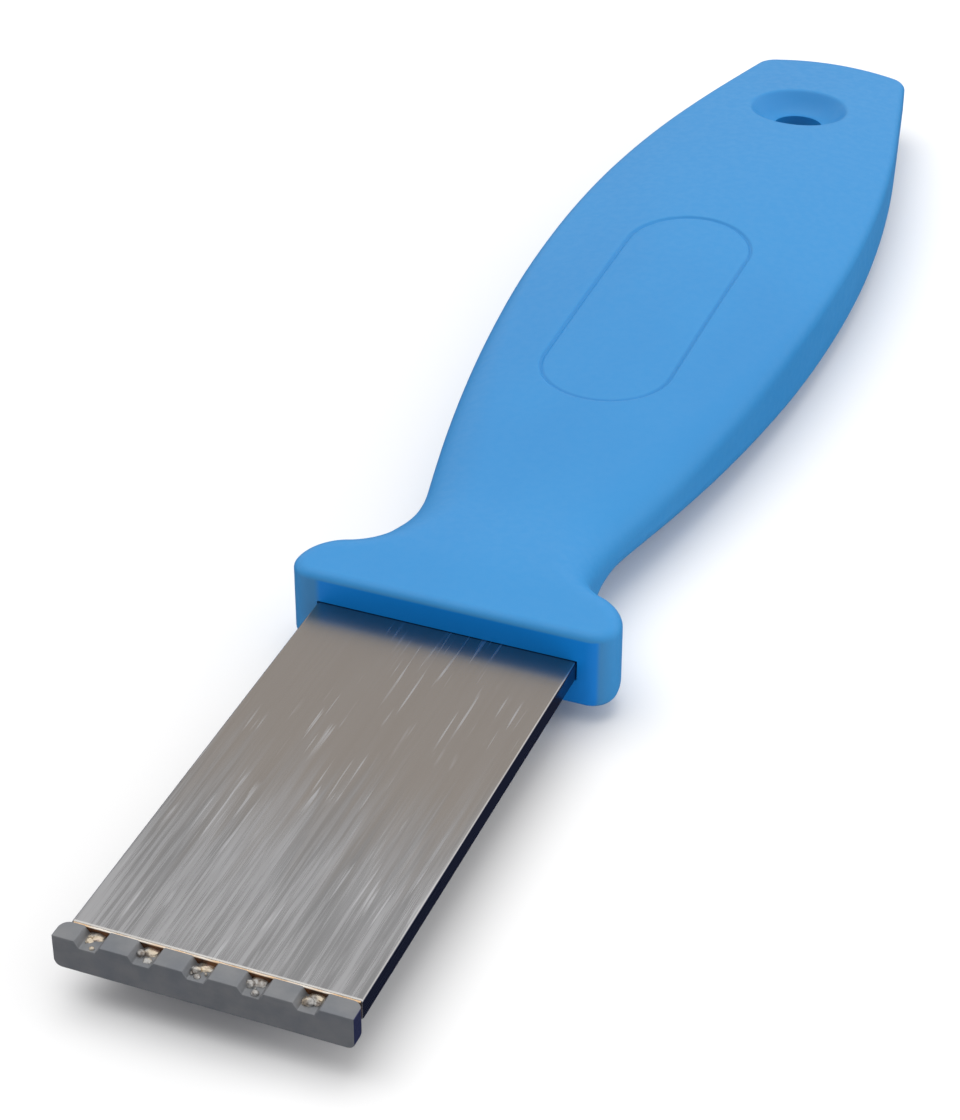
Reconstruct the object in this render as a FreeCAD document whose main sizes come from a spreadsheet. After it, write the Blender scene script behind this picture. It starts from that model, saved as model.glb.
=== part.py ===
import FreeCAD, Part
import math
import os

import Sketcher
from FreeCAD import Placement, Rotation, Vector

# A flat scraping tool for beehive frames and grids: a steel blade with a notched bar brazed
# across its tip, moulded into a one-piece plastic handle with a cross guard and a hanging hole.
#
# Every sub-part is drawn in the guard's frame, in millimetres: X runs across the tool, Y runs
# along it from the guard's front face (Y = 0) towards the hanging hole, and Z = 0 is the middle
# of the blade's plate. The bodies' placements then move the tool so that it lies on Z = 0 with
# its box centred on the origin.

os.makedirs("parts", exist_ok=True)
doc = FreeCAD.newDocument("frame_scraper")

# ---------------------------------------------------------------- driving dimensions

DIMENSIONS = {
    # blade: a steel plate with a narrower tang hidden in the handle
    "blade_width": 32.0,
    "blade_reach": 59.9,
    "plate_thickness": 2.5,
    "edge_break": 0.2,
    "shoulder_depth": 6.0,
    "tang_width": 17.0,
    "tang_length": 62.0,
    "lock_hole_radius": 3.0,
    "lock_hole_first": 20.0,
    "lock_hole_spacing": 26.0,
    # brazed joint between the plate's end and the bar
    "braze_gap": 0.15,
    "bead_radius": 0.55,
    "bead_play": 0.2,
    # notched bar
    "bar_length": 33.1,
    "bar_shift": 0.3,
    "bar_depth": 2.6,
    "bar_height": 4.0,
    "bar_back_round": 1.2,
    "bar_foot_round": 0.9,
    "notch_count": 5,
    "notch_pitch": 6.0,
    "notch_top_width": 2.9,
    "notch_floor_width": 1.8,
    "notch_depth": 0.85,
    "notch_shift": 0.9,
    # handle seen from above
    "handle_length": 161.0,
    "guard_half_width": 20.0,
    "guard_depth": 9.9,
    "guard_front_round": 3.0,
    "guard_lobe_round": 6.8,
    "neck_fillet": 5.6,
    "neck_curve": 32.0,
    "neck_half_width": 12.4,
    "palm_half_width": 20.76,
    "palm_place": 92.4,
    "palm_front_curve": 292.0,
    "palm_rear_curve": 214.0,
    "taper_start": 136.0,
    "end_corner": 3.1,
    "end_curve": 36.0,
    # handle seen from the side, as half thicknesses
    "neck_half_height": 5.1,
    "neck_run": 30.0,
    "crest_half_height": 7.3,
    "crest_place": 80.0,
    "crest_curve": 300.0,
    "tail_half_height": 3.1,
    # the upper and lower surfaces are crowned across the handle with this radius
    "crown_radius": 220.0,
    "crown_sweep_degrees": 30.0,
    "handle_edge": 2.2,
    # hanging hole and the dish round it
    "hang_hole_place": 139.8,
    "hang_hole_radius": 3.6,
    "hang_wall_half": 1.6,
    "dish_slope": 0.88,
    "dish_cut_radius": 9.1,
    # play between the tang's locking holes and the plastic posts in them
    "lock_play": 0.1,
    # how far a cutting outline runs past the solid that it cuts
    "margin": 2.0,
}

sheet = doc.addObject("Spreadsheet::Sheet", "Dims")
for row, (alias, value) in enumerate(DIMENSIONS.items(), start=1):
    sheet.set(f"A{row}", alias)
    sheet.set(f"B{row}", str(value))
    sheet.setAlias(f"B{row}", alias)
doc.recompute()

ORIGIN_POINT = (-1, 1)      # Sketcher's name for the sketch origin
LONG_AXIS = -2              # Sketcher's name for its vertical axis
START, END, CENTRE = 1, 2, 3


def size(alias):
    return float(sheet.get(alias))


# ---------------------------------------------------------------- helpers

def new_body(name):
    """A body placed by the sheet: on the floor, with the whole tool centred along Y."""
    body = doc.addObject("PartDesign::Body", name)
    body.Label = name
    two_ends = "(Dims.handle_length - Dims.blade_reach - Dims.braze_gap - Dims.bar_depth)"
    body.setExpression(".Placement.Base.y", f"-{two_ends} / 2")
    body.setExpression(".Placement.Base.z", "Dims.crest_half_height")
    return body


def origin_plane(body, role):
    return next(f for f in body.Origin.OriginFeatures if f.Role == role)


def new_sketch(body, name, role, offset=None):
    """A sketch on one of the body's own origin planes, moved along its normal by an expression."""
    sketch = body.newObject("Sketcher::SketchObject", name)
    sketch.AttachmentSupport = (origin_plane(body, role), [""])
    sketch.MapMode = "FlatFace"
    if offset:
        sketch.setExpression(".AttachmentOffset.Base.z", offset)
    doc.recompute()
    return sketch


def bind(sketch, kind, places, start_value, expression):
    """Adds a dimension to a sketch and ties it to the sheet."""
    index = sketch.addConstraint(Sketcher.Constraint(kind, *places, start_value))
    sketch.setExpression(f"Constraints[{index}]", expression)


def polygon(sketch, corners):
    """Closed outline of straight lines through the corners; returns the line numbers."""
    lines = []
    for here, there in zip(corners, corners[1:] + corners[:1]):
        lines.append(sketch.addGeometry(Part.LineSegment(Vector(*here, 0), Vector(*there, 0))))
    for line, following in zip(lines, lines[1:] + lines[:1]):
        sketch.addConstraint(Sketcher.Constraint("Coincident", line, END, following, START))
    return lines


def rectangle(sketch, low_x, high_x, low_y, high_y):
    """Axis-parallel rectangle whose four sides are (start value, expression) pairs."""
    corners = [
        (low_x[0], low_y[0]),
        (high_x[0], low_y[0]),
        (high_x[0], high_y[0]),
        (low_x[0], high_y[0]),
    ]
    bottom, right, top, left = polygon(sketch, corners)
    for line in (bottom, top):
        sketch.addConstraint(Sketcher.Constraint("Horizontal", line))
    for line in (right, left):
        sketch.addConstraint(Sketcher.Constraint("Vertical", line))
    place_point(sketch, bottom, START, low_x, low_y)
    place_point(sketch, top, START, high_x, high_y)


def place_point(sketch, geometry, point, across, along):
    """Ties a point's two coordinates to expressions, counted from the sketch origin."""
    bind(sketch, "DistanceX", (*ORIGIN_POINT, geometry, point), across[0], across[1])
    bind(sketch, "DistanceY", (*ORIGIN_POINT, geometry, point), along[0], along[1])


def pad(body, sketch, length, symmetric=True):
    feature = body.newObject("PartDesign::Pad", sketch.Name + "_pad")
    feature.Profile = sketch
    feature.SideType = "Symmetric" if symmetric else "One side"
    feature.setExpression("Length", length)
    doc.recompute()
    return feature


def cut_through(body, sketch):
    """A pocket through everything on both sides of its sketch, which must remove material."""
    before = body.Shape.Volume
    feature = body.newObject("PartDesign::Pocket", sketch.Name + "_pocket")
    feature.Profile = sketch
    feature.Type = "ThroughAll"
    feature.SideType = "Symmetric"
    doc.recompute()
    assert body.Shape.Volume < before - 0.01, f"{feature.Name} removes nothing"
    return feature


def pattern_done(body, feature):
    body.Tip = feature
    doc.recompute()
    return feature


def mirror(body, features, role, name):
    feature = body.newObject("PartDesign::Mirrored", name)
    feature.Originals = features
    feature.MirrorPlane = (origin_plane(body, role), [""])
    return pattern_done(body, feature)


def edges_where(shape, test):
    return [f"Edge{number}" for number, edge in enumerate(shape.Edges, start=1) if test(edge)]


def fillet(body, base, edges, radius, name):
    assert edges, f"{name} finds no edges"
    feature = body.newObject("PartDesign::Fillet", name)
    feature.Base = (base, edges)
    feature.setExpression("Radius", radius)
    doc.recompute()
    return feature


def tangent(sketch, first, first_point, second, second_point):
    sketch.addConstraint(Sketcher.Constraint("Tangent", first, first_point, second, second_point))


def join(sketch, first, first_point, second, second_point):
    sketch.addConstraint(Sketcher.Constraint("Coincident", first, first_point, second, second_point))


def line(sketch, start, end):
    return sketch.addGeometry(Part.LineSegment(Vector(*start, 0), Vector(*end, 0)))


def arc(sketch, centre, radius, first_degrees, last_degrees):
    """Counter-clockwise arc."""
    circle = Part.Circle(Vector(*centre, 0), Vector(0, 0, 1), radius)
    return sketch.addGeometry(
        Part.ArcOfCircle(circle, math.radians(first_degrees), math.radians(last_degrees))
    )


def circle(sketch, centre_along, radius):
    """Circle on the long axis; both arguments are (start value, expression) pairs."""
    shape = Part.Circle(Vector(0, centre_along[0], 0), Vector(0, 0, 1), radius[0])
    number = sketch.addGeometry(shape)
    sketch.addConstraint(Sketcher.Constraint("PointOnObject", number, CENTRE, LONG_AXIS))
    bind(sketch, "DistanceY", (*ORIGIN_POINT, number, CENTRE), centre_along[0], centre_along[1])
    bind(sketch, "Radius", (number,), radius[0], radius[1])


def radius_of(sketch, number, alias):
    bind(sketch, "Radius", (number,), size(alias), f"Dims.{alias}")


# ---------------------------------------------------------------- blade and the cavity for it

def plate_outline(sketch, front, hole_radius):
    """Wide plate from the front value back to its shoulders, then the tang with two lock holes."""
    wide = size("blade_width") / 2
    narrow = size("tang_width") / 2
    shoulder = size("shoulder_depth")
    back = size("tang_length")
    corners = [
        (-wide, front[0]),
        (wide, front[0]),
        (wide, shoulder),
        (narrow, shoulder),
        (narrow, back),
        (-narrow, back),
        (-narrow, shoulder),
        (-wide, shoulder),
    ]
    lines = polygon(sketch, corners)
    for number in lines[0::2]:
        sketch.addConstraint(Sketcher.Constraint("Horizontal", number))
    for number in lines[1::2]:
        sketch.addConstraint(Sketcher.Constraint("Vertical", number))
    left_wide = (-wide, "-Dims.blade_width / 2")
    right_wide = (wide, "Dims.blade_width / 2")
    shoulders = (shoulder, "Dims.shoulder_depth")
    place_point(sketch, lines[0], START, left_wide, front)
    place_point(sketch, lines[2], START, right_wide, shoulders)
    place_point(sketch, lines[4], START, (narrow, "Dims.tang_width / 2"), (back, "Dims.tang_length"))
    place_point(sketch, lines[6], START, (-narrow, "-Dims.tang_width / 2"), shoulders)
    first = size("lock_hole_first")
    second = first + size("lock_hole_spacing")
    circle(sketch, (first, "Dims.lock_hole_first"), hole_radius)
    circle(sketch, (second, "Dims.lock_hole_first + Dims.lock_hole_spacing"), hole_radius)


def make_blade():
    body = new_body("blade")
    sketch = new_sketch(body, "plate_outline", "XY_Plane")
    front = (-size("blade_reach"), "-Dims.blade_reach")
    plate_outline(sketch, front, (size("lock_hole_radius"), "Dims.lock_hole_radius"))
    plate = pad(body, sketch, "Dims.plate_thickness")
    long_edges = edges_where(plate.Shape, is_blade_long_edge)
    edge_break = body.newObject("PartDesign::Chamfer", "edge_break")
    edge_break.Base = (plate, long_edges)
    edge_break.setExpression("Size", "Dims.edge_break")
    doc.recompute()
    return body


def is_blade_long_edge(edge):
    """The plate's four long edges, from the tip to the shoulders."""
    box = edge.BoundBox
    return box.YLength > size("blade_reach") and box.XLength < 0.01


# ---------------------------------------------------------------- notched bar and its braze

BAR_BACK = "(Dims.blade_reach + Dims.braze_gap)"
PLATE_TOP = "Dims.plate_thickness / 2"


def make_bar():
    body = new_body("notched_bar")
    back = -(size("blade_reach") + size("braze_gap"))
    front = back - size("bar_depth")
    top = size("plate_thickness") / 2
    bottom = top - size("bar_height")
    section = new_sketch(body, "bar_section", "YZ_Plane", "-Dims.bar_shift")
    back_value = (back, f"-{BAR_BACK}")
    front_value = (front, f"-({BAR_BACK} + Dims.bar_depth)")
    top_value = (top, PLATE_TOP)
    bottom_value = (bottom, f"{PLATE_TOP} - Dims.bar_height")
    rectangle(section, front_value, back_value, bottom_value, top_value)
    bar = pad(body, section, "Dims.bar_length")

    notch = new_sketch(body, "notch_section", "XZ_Plane")
    first = -size("notch_shift") - size("notch_pitch") * (size("notch_count") - 1) / 2
    first_text = "(-Dims.notch_shift - Dims.notch_pitch * (Dims.notch_count - 1) / 2)"
    half_top = size("notch_top_width") / 2
    half_floor = size("notch_floor_width") / 2
    floor = top - size("notch_depth")
    floor_value = (floor, f"{PLATE_TOP} - Dims.notch_depth")
    # the slanted sides run on above the bar by as much as the notch is deep
    slant = half_top - half_floor
    above = top + size("notch_depth")
    above_value = (above, f"{PLATE_TOP} + Dims.notch_depth")
    above_text = "(Dims.notch_top_width - Dims.notch_floor_width / 2)"
    corners = [
        ((first - half_floor, f"{first_text} - Dims.notch_floor_width / 2"), floor_value),
        ((first + half_floor, f"{first_text} + Dims.notch_floor_width / 2"), floor_value),
        ((first + half_top + slant, f"{first_text} + {above_text}"), above_value),
        ((first - half_top - slant, f"{first_text} - {above_text}"), above_value),
    ]
    numbers = polygon(notch, [(across[0], up[0]) for across, up in corners])
    for number, (across, up) in zip(numbers, corners):
        place_point(notch, number, START, across, up)
    pocket = cut_through(body, notch)
    row = along_x_pattern(body, pocket, "notch_row")

    ends = [side * size("bar_length") / 2 - size("bar_shift") for side in (-1, 1)]
    small = 0.01

    def at_bar_end(box):
        return box.XLength < small and min(abs(box.XMin - end) for end in ends) < small

    def foot_corner(edge):
        box = edge.BoundBox
        return at_bar_end(box) and box.ZMax < bottom + small

    feet = fillet(body, row, edges_where(row.Shape, foot_corner), "Dims.bar_foot_round", "foot_rounds")

    def left_back_corner(edge):
        box = edge.BoundBox
        upright = at_bar_end(box) and box.ZLength > size("bar_height") / 2
        return upright and box.XMax < 0 and box.YMax > back - small

    corner = edges_where(feet.Shape, left_back_corner)
    fillet(body, feet, corner, "Dims.bar_back_round", "back_round")
    return body


def along_x_pattern(body, feature, name):
    """Repeats a feature across the tool, once per notch."""
    row = body.newObject("PartDesign::LinearPattern", name)
    row.Originals = [feature]
    x_axis = next(f for f in body.Origin.OriginFeatures if f.Role == "X_Axis")
    row.Direction = (x_axis, [""])
    row.Mode = "Spacing"
    row.setExpression("Offset", "Dims.notch_pitch")
    row.setExpression("Occurrences", "Dims.notch_count")
    return pattern_done(body, row)


def make_braze_seam():
    """The thin layer of filler between the plate's end and the back of the bar."""
    body = new_body("braze_seam")
    sketch = new_sketch(body, "seam_section", "YZ_Plane")
    back = (-size("blade_reach"), "-Dims.blade_reach")
    front = (back[0] - size("braze_gap"), f"-{BAR_BACK}")
    top = size("plate_thickness") / 2 - size("edge_break")
    high = (top, f"{PLATE_TOP} - Dims.edge_break")
    low = (-top, f"-{PLATE_TOP} + Dims.edge_break")
    rectangle(sketch, front, back, low, high)
    pad(body, sketch, "Dims.blade_width - 2 * Dims.edge_break")
    return body


def make_braze_beads():
    """Quarter-round beads of filler along the back of every notch floor."""
    body = new_body("braze_beads")
    body.AllowCompound = True
    shift = "-Dims.notch_shift - Dims.notch_pitch * (Dims.notch_count - 1) / 2"
    sketch = new_sketch(body, "bead_section", "YZ_Plane", shift)
    back = -(size("blade_reach") + size("braze_gap"))
    floor = size("plate_thickness") / 2 - size("notch_depth")
    radius = size("bead_radius")
    rim = arc(sketch, (back, floor), radius, 90, 180)
    upright = line(sketch, (back, floor + radius), (back, floor))
    base = line(sketch, (back, floor), (back - radius, floor))
    join(sketch, rim, START, upright, START)
    join(sketch, upright, END, base, START)
    join(sketch, base, END, rim, END)
    join(sketch, rim, CENTRE, base, START)
    sketch.addConstraint(Sketcher.Constraint("Vertical", upright))
    sketch.addConstraint(Sketcher.Constraint("Horizontal", base))
    radius_of(sketch, rim, "bead_radius")
    floor_text = f"{PLATE_TOP} - Dims.notch_depth"
    place_point(sketch, base, START, (back, f"-{BAR_BACK}"), (floor, floor_text))
    bead = pad(body, sketch, "Dims.notch_floor_width - Dims.bead_play")
    along_x_pattern(body, bead, "bead_row")
    return body


# ---------------------------------------------------------------- handle

def handle_outline(sketch):
    """Right half of the handle seen from above, as tangent arcs, closed along the long axis.

    The arcs' angles and the neck's place are rough starts; the constraints below settle them.
    """
    length = size("handle_length")
    side = size("guard_half_width")
    front_radius = size("guard_front_round")
    lobe_radius = size("guard_lobe_round")
    fillet_radius = size("neck_fillet")
    neck_radius = size("neck_curve")
    front_curve = size("palm_front_curve")
    rear_curve = size("palm_rear_curve")
    corner_radius = size("end_corner")
    end_radius = size("end_curve")
    front_x = side - front_radius
    lobe_x = side - lobe_radius
    lobe_y = size("guard_depth") - lobe_radius
    neck_x = size("neck_half_width") + neck_radius
    palm_x, palm_y = size("palm_half_width"), size("palm_place")
    fillet_centre = (lobe_x + 2, lobe_y + lobe_radius + fillet_radius)
    neck_centre = (neck_x, fillet_centre[1] + 4)
    taper_x, taper_y = palm_x - 4, size("taper_start")
    corner_x, corner_y = palm_x / 2, length - corner_radius - 1

    front = line(sketch, (0, 0), (front_x, 0))
    front_round = arc(sketch, (front_x, front_radius), front_radius, -90, 0)
    lobe_side = line(sketch, (side, front_radius), (side, lobe_y))
    lobe = arc(sketch, (lobe_x, lobe_y), lobe_radius, 0, 78)
    fillet_arc = arc(sketch, fillet_centre, fillet_radius, 186, 258)
    neck = arc(sketch, neck_centre, neck_radius, 167, 186)
    palm_front = arc(sketch, (palm_x - front_curve, palm_y), front_curve, -13, 0)
    palm_rear = arc(sketch, (palm_x - rear_curve, palm_y), rear_curve, 0, 11)
    taper = line(sketch, (taper_x, taper_y), (taper_x - 4, corner_y))
    corner = arc(sketch, (corner_x, corner_y), corner_radius, 11, 74)
    end = arc(sketch, (0, length - end_radius), end_radius, 74, 90)
    axis = line(sketch, (0, length), (0, 0))

    tangent(sketch, front, END, front_round, START)
    tangent(sketch, front_round, END, lobe_side, START)
    tangent(sketch, lobe_side, END, lobe, START)
    tangent(sketch, lobe, END, fillet_arc, END)
    tangent(sketch, fillet_arc, START, neck, END)
    tangent(sketch, neck, START, palm_front, START)
    tangent(sketch, palm_front, END, palm_rear, START)
    tangent(sketch, palm_rear, END, taper, START)
    tangent(sketch, taper, END, corner, START)
    tangent(sketch, corner, END, end, START)
    join(sketch, end, END, axis, START)
    join(sketch, axis, END, front, START)
    join(sketch, front, START, *ORIGIN_POINT)
    sketch.addConstraint(Sketcher.Constraint("Horizontal", front))
    sketch.addConstraint(Sketcher.Constraint("Vertical", lobe_side))
    sketch.addConstraint(Sketcher.Constraint("Vertical", axis))
    sketch.addConstraint(Sketcher.Constraint("PointOnObject", end, CENTRE, LONG_AXIS))

    radius_of(sketch, front_round, "guard_front_round")
    radius_of(sketch, lobe, "guard_lobe_round")
    radius_of(sketch, fillet_arc, "neck_fillet")
    radius_of(sketch, neck, "neck_curve")
    radius_of(sketch, palm_front, "palm_front_curve")
    radius_of(sketch, palm_rear, "palm_rear_curve")
    radius_of(sketch, corner, "end_corner")
    radius_of(sketch, end, "end_curve")

    def across(number, point, value, text):
        bind(sketch, "DistanceX", (*ORIGIN_POINT, number, point), value, text)

    def along(number, point, value, text):
        bind(sketch, "DistanceY", (*ORIGIN_POINT, number, point), value, text)

    across(lobe_side, START, side, "Dims.guard_half_width")
    along(lobe, CENTRE, lobe_y, "Dims.guard_depth - Dims.guard_lobe_round")
    across(neck, CENTRE, neck_x, "Dims.neck_half_width + Dims.neck_curve")
    across(palm_front, END, palm_x, "Dims.palm_half_width")
    along(palm_front, END, palm_y, "Dims.palm_place")
    along(palm_front, CENTRE, palm_y, "Dims.palm_place")
    along(palm_rear, END, taper_y, "Dims.taper_start")
    along(end, END, length, "Dims.handle_length")


def top_profile(sketch):
    """What is cut away above the handle, seen from the side: X of the sketch is along the tool."""
    neck_height = size("neck_half_height")
    neck_end = size("neck_run")
    crest = size("crest_place")
    crest_height = size("crest_half_height")
    curve = size("crest_curve")
    tail_place = size("handle_length") + size("margin")
    tail_height = size("tail_half_height")
    above = crest_height + 3 * size("margin")
    before = -size("margin")
    # the arcs' angles, the rise's radius and the slope's start are rough; the constraints settle them
    slope_start = (crest + curve / 20, crest_height - size("margin") / 5)
    neck_line = line(sketch, (before, neck_height), (neck_end, neck_height))
    rise = arc(sketch, (neck_end, neck_height + curve), curve, 270, 275)
    swell = arc(sketch, (crest, crest_height - curve), curve, 87, 95)
    slope = line(sketch, slope_start, (tail_place, tail_height))
    behind = line(sketch, (tail_place, tail_height), (tail_place, above))
    over = line(sketch, (tail_place, above), (before, above))
    ahead = line(sketch, (before, above), (before, neck_height))

    tangent(sketch, neck_line, END, rise, START)
    tangent(sketch, rise, END, swell, END)
    tangent(sketch, swell, START, slope, START)
    join(sketch, slope, END, behind, START)
    join(sketch, behind, END, over, START)
    join(sketch, over, END, ahead, START)
    join(sketch, ahead, END, neck_line, START)
    sketch.addConstraint(Sketcher.Constraint("Horizontal", neck_line))
    sketch.addConstraint(Sketcher.Constraint("Vertical", behind))
    sketch.addConstraint(Sketcher.Constraint("Horizontal", over))
    sketch.addConstraint(Sketcher.Constraint("Vertical", ahead))
    radius_of(sketch, swell, "crest_curve")
    place_point(
        sketch, neck_line, START, (before, "-Dims.margin"), (neck_height, "Dims.neck_half_height")
    )
    bind(sketch, "DistanceX", (*ORIGIN_POINT, neck_line, END), neck_end, "Dims.neck_run")
    centre_height = (crest_height - curve, "Dims.crest_half_height - Dims.crest_curve")
    place_point(sketch, swell, CENTRE, (crest, "Dims.crest_place"), centre_height)
    tail = (tail_place, "Dims.handle_length + Dims.margin")
    place_point(sketch, slope, END, tail, (tail_height, "Dims.tail_half_height"))
    over_text = "Dims.crest_half_height + 3 * Dims.margin"
    bind(sketch, "DistanceY", (*ORIGIN_POINT, behind, END), above, over_text)

    # the line that the profile is swept about, parallel to the tool and far below it
    depth = -size("crown_radius")
    pivot = sketch.addGeometry(Part.LineSegment(Vector(0, depth, 0), Vector(crest, depth, 0)), True)
    sketch.addConstraint(Sketcher.Constraint("Horizontal", pivot))
    place_point(sketch, pivot, START, (0, "0"), (depth, "-Dims.crown_radius"))
    bind(sketch, "DistanceX", (*ORIGIN_POINT, pivot, END), crest, "Dims.crest_place")


def cut_crowned_top(body, profile):
    """Sweeps the profile a few degrees each way about its pivot line, to crown the surface."""
    before = body.Shape.Volume
    groove = body.newObject("PartDesign::Groove", "crowned_top")
    groove.Profile = profile
    groove.ReferenceAxis = (profile, ["Axis0"])
    groove.Midplane = True
    groove.setExpression("Angle", "Dims.crown_sweep_degrees")
    doc.recompute()
    assert body.Shape.Volume < before - 1, "the crowned top removes nothing"
    return groove


def is_handle_rim(edge):
    """The long rims between the handle's walls and its top and bottom surfaces."""
    box = edge.BoundBox
    if box.ZMin < 0 < box.ZMax:
        return False
    seam_across_surface = box.YLength < 0.01 and 0.01 < box.YMin < size("taper_start")
    return not seam_across_surface


def cut_hanging_hole(body):
    """A round hole with a conical dish on each side."""
    sketch = new_sketch(body, "hole_section", "YZ_Plane")
    place = size("hang_hole_place")
    radius = size("hang_hole_radius")
    wall = size("hang_wall_half")
    outer = size("dish_cut_radius")
    reach = wall + (outer - radius) * size("dish_slope")
    reach_text = (
        "(Dims.hang_wall_half + (Dims.dish_cut_radius - Dims.hang_hole_radius) * Dims.dish_slope)"
    )
    axis_value = (place, "Dims.hang_hole_place")
    wall_value = (place + radius, "Dims.hang_hole_place + Dims.hang_hole_radius")
    outer_value = (place + outer, "Dims.hang_hole_place + Dims.dish_cut_radius")
    corners = [
        (axis_value, (-reach, f"-{reach_text}")),
        (outer_value, (-reach, f"-{reach_text}")),
        (wall_value, (-wall, "-Dims.hang_wall_half")),
        (wall_value, (wall, "Dims.hang_wall_half")),
        (outer_value, (reach, reach_text)),
        (axis_value, (reach, reach_text)),
    ]
    numbers = polygon(sketch, [(along[0], up[0]) for along, up in corners])
    for number, (along, up) in zip(numbers, corners):
        place_point(sketch, number, START, along, up)
    before = body.Shape.Volume
    groove = body.newObject("PartDesign::Groove", "hanging_hole")
    groove.Profile = sketch
    groove.ReferenceAxis = (sketch, [f"Edge{len(numbers)}"])
    groove.Angle = 360
    doc.recompute()
    assert body.Shape.Volume < before - 1, "the hanging hole removes nothing"


def make_handle():
    body = new_body("handle")
    outline = new_sketch(body, "handle_outline", "XY_Plane")
    handle_outline(outline)
    half = pad(body, outline, "2 * (Dims.crest_half_height + Dims.margin)")
    mirror(body, [half], "YZ_Plane", "left_half")
    profile = new_sketch(body, "top_profile", "YZ_Plane")
    top_profile(profile)
    top_cut = cut_crowned_top(body, profile)
    both = mirror(body, [top_cut], "XY_Plane", "bottom_cut")
    fillet(body, both, edges_where(both.Shape, is_handle_rim), "Dims.handle_edge", "rims")
    cut_hanging_hole(body)

    cavity = new_sketch(body, "tang_cavity", "XY_Plane")
    post = (size("lock_hole_radius") - size("lock_play"), "Dims.lock_hole_radius - Dims.lock_play")
    plate_outline(cavity, (-size("margin"), "-Dims.margin"), post)
    before = body.Shape.Volume
    slot = body.newObject("PartDesign::Pocket", "tang_slot")
    slot.Profile = cavity
    slot.SideType = "Symmetric"
    slot.setExpression("Length", "Dims.plate_thickness")
    doc.recompute()
    assert body.Shape.Volume < before - 1, "the tang slot removes nothing"
    return body


# ---------------------------------------------------------------- make, check and write

parts = [make_handle(), make_blade(), make_bar(), make_braze_seam(), make_braze_beads()]
doc.recompute()

faults = [item.Name for item in doc.Objects if {"Invalid", "Error"} & set(item.State)]
assert not faults, f"failed features: {faults}"

for part in parts:
    shape = part.Shape
    assert not shape.isNull() and shape.isValid(), f"{part.Label} has no sound shape"
    shape.exportStep(f"parts/{part.Label}.step")
    box = shape.optimalBoundingBox()
    print(
        f"{part.Label}: {len(shape.Solids)} solids, {shape.Volume:.1f} mm3,",
        f"x {box.XMin:.2f}..{box.XMax:.2f}, y {box.YMin:.2f}..{box.YMax:.2f},",
        f"z {box.ZMin:.2f}..{box.ZMax:.2f}",
    )
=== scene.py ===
import math
import random

import bmesh
import bpy
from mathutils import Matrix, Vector, noise


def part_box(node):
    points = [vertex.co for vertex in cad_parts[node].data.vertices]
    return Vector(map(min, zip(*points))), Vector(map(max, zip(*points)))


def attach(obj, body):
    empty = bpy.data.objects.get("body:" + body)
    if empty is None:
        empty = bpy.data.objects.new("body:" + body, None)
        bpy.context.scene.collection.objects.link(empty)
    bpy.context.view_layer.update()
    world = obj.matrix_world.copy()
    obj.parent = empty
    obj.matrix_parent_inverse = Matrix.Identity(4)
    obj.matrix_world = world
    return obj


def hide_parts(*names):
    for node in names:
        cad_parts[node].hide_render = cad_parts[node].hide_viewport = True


# Looks for the frame scraping tool. Shapes are worked out in millimetres in the guard's frame:
# X across the tool, Y from the guard's front face towards the hanging hole, Z from the middle of
# the blade's plate. place() turns them into the row's metres.

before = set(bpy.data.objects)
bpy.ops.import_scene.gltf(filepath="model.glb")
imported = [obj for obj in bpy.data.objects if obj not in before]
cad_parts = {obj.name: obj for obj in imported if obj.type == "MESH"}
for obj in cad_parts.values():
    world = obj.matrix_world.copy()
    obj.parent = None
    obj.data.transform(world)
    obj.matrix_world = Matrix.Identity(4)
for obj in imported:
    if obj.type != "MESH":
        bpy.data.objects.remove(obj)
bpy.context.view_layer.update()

MM = 0.001


def node_box_mm(node):
    low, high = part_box(node)
    return [value / MM for value in low], [value / MM for value in high]


handle_low, handle_high = node_box_mm("handle")
blade_low, blade_high = node_box_mm("blade")
bar_low, bar_high = node_box_mm("notched_bar")

GUARD_Y = handle_low[1]
MIDDLE_Z = (blade_low[2] + blade_high[2]) / 2
HANDLE_LENGTH = handle_high[1] - handle_low[1]
HALF_PLATE = (blade_high[2] - blade_low[2]) / 2
BLADE_HALF_WIDTH = blade_high[0]
BLADE_TIP = blade_low[1] - GUARD_Y


def place(x, y, z):
    """Guard frame in millimetres to the row's frame in metres."""
    return Vector((x * MM, (y + GUARD_Y) * MM, (z + MIDDLE_Z) * MM))


def new_piece(name, vertices, faces):
    mesh = bpy.data.meshes.new(name)
    mesh.from_pydata([place(*vertex) for vertex in vertices], [], faces)
    mesh.validate()
    piece = bpy.data.objects.new(name, mesh)
    bpy.context.scene.collection.objects.link(piece)
    return piece


def shade_smooth(piece, sharp_degrees):
    for polygon in piece.data.polygons:
        polygon.use_smooth = True
    piece.data.set_sharp_from_angle(angle=math.radians(sharp_degrees))


def apply_modifiers(piece):
    graph = bpy.context.evaluated_depsgraph_get()
    mesh = bpy.data.meshes.new_from_object(piece.evaluated_get(graph))
    piece.modifiers.clear()
    piece.data = mesh


# ---------------------------------------------------------------- handle: plan outline

GUARD_HALF_WIDTH = 20.0
GUARD_DEPTH = 9.9
FRONT_ROUND = 3.0
LOBE_ROUND = 6.8
NECK_FILLET = 5.6
NECK_CURVE = 32.0
NECK_HALF_WIDTH = 12.4
PALM_HALF_WIDTH = 20.75
PALM_PLACE = 92.4
PALM_FRONT_CURVE = 292.0
PALM_REAR_CURVE = 214.0
TAPER_START = 136.0
END_CORNER = 3.1
END_CURVE = 36.0


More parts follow.
